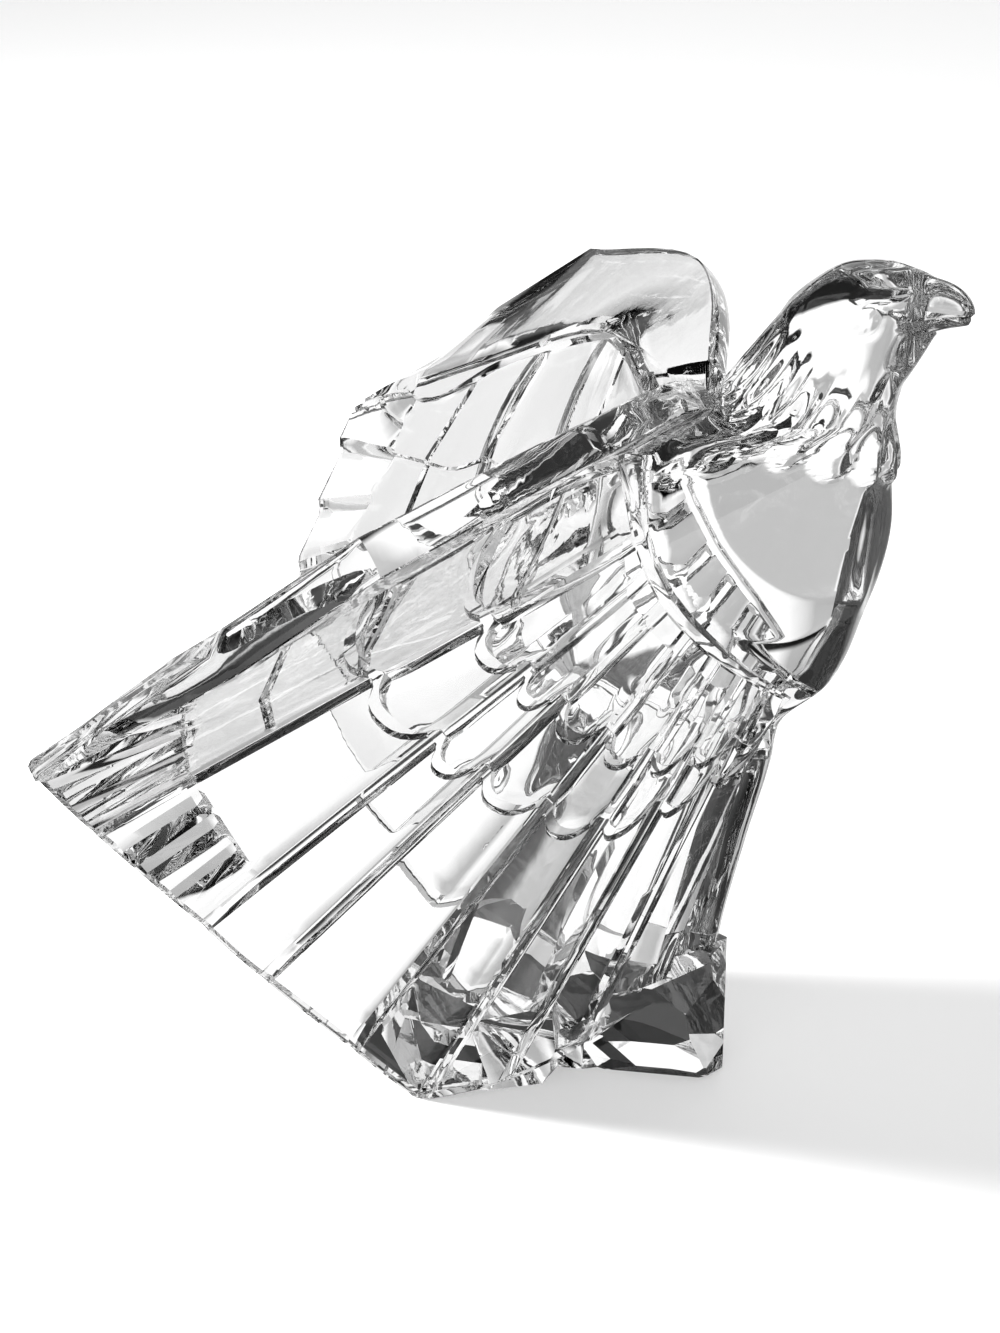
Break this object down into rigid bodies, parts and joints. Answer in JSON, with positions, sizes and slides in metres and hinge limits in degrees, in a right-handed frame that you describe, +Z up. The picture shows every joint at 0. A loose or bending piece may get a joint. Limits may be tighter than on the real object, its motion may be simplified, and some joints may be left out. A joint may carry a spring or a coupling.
{
  "type": "crystal eagle figurine",
  "caption": "Clear crystal eagle with raised, swept-back wings cut in rows of feathers, standing on a faceted rock, cast as one solid piece.",
  "frame": {"origin": "on the table plane, on the flat underside of the rock, under the bird's breast", "axes": "+X is the way the bird faces, +Y its left, +Z up"},
  "size_m": [0.1936, 0.2816, 0.212],
  "materials": {
    "crystal": "clear colourless lead crystal, cast, wheel cut and polished all over"
  },
  "bodies": {
    "root": {"eagle": "crystal"}
  },
  "joints": []
}
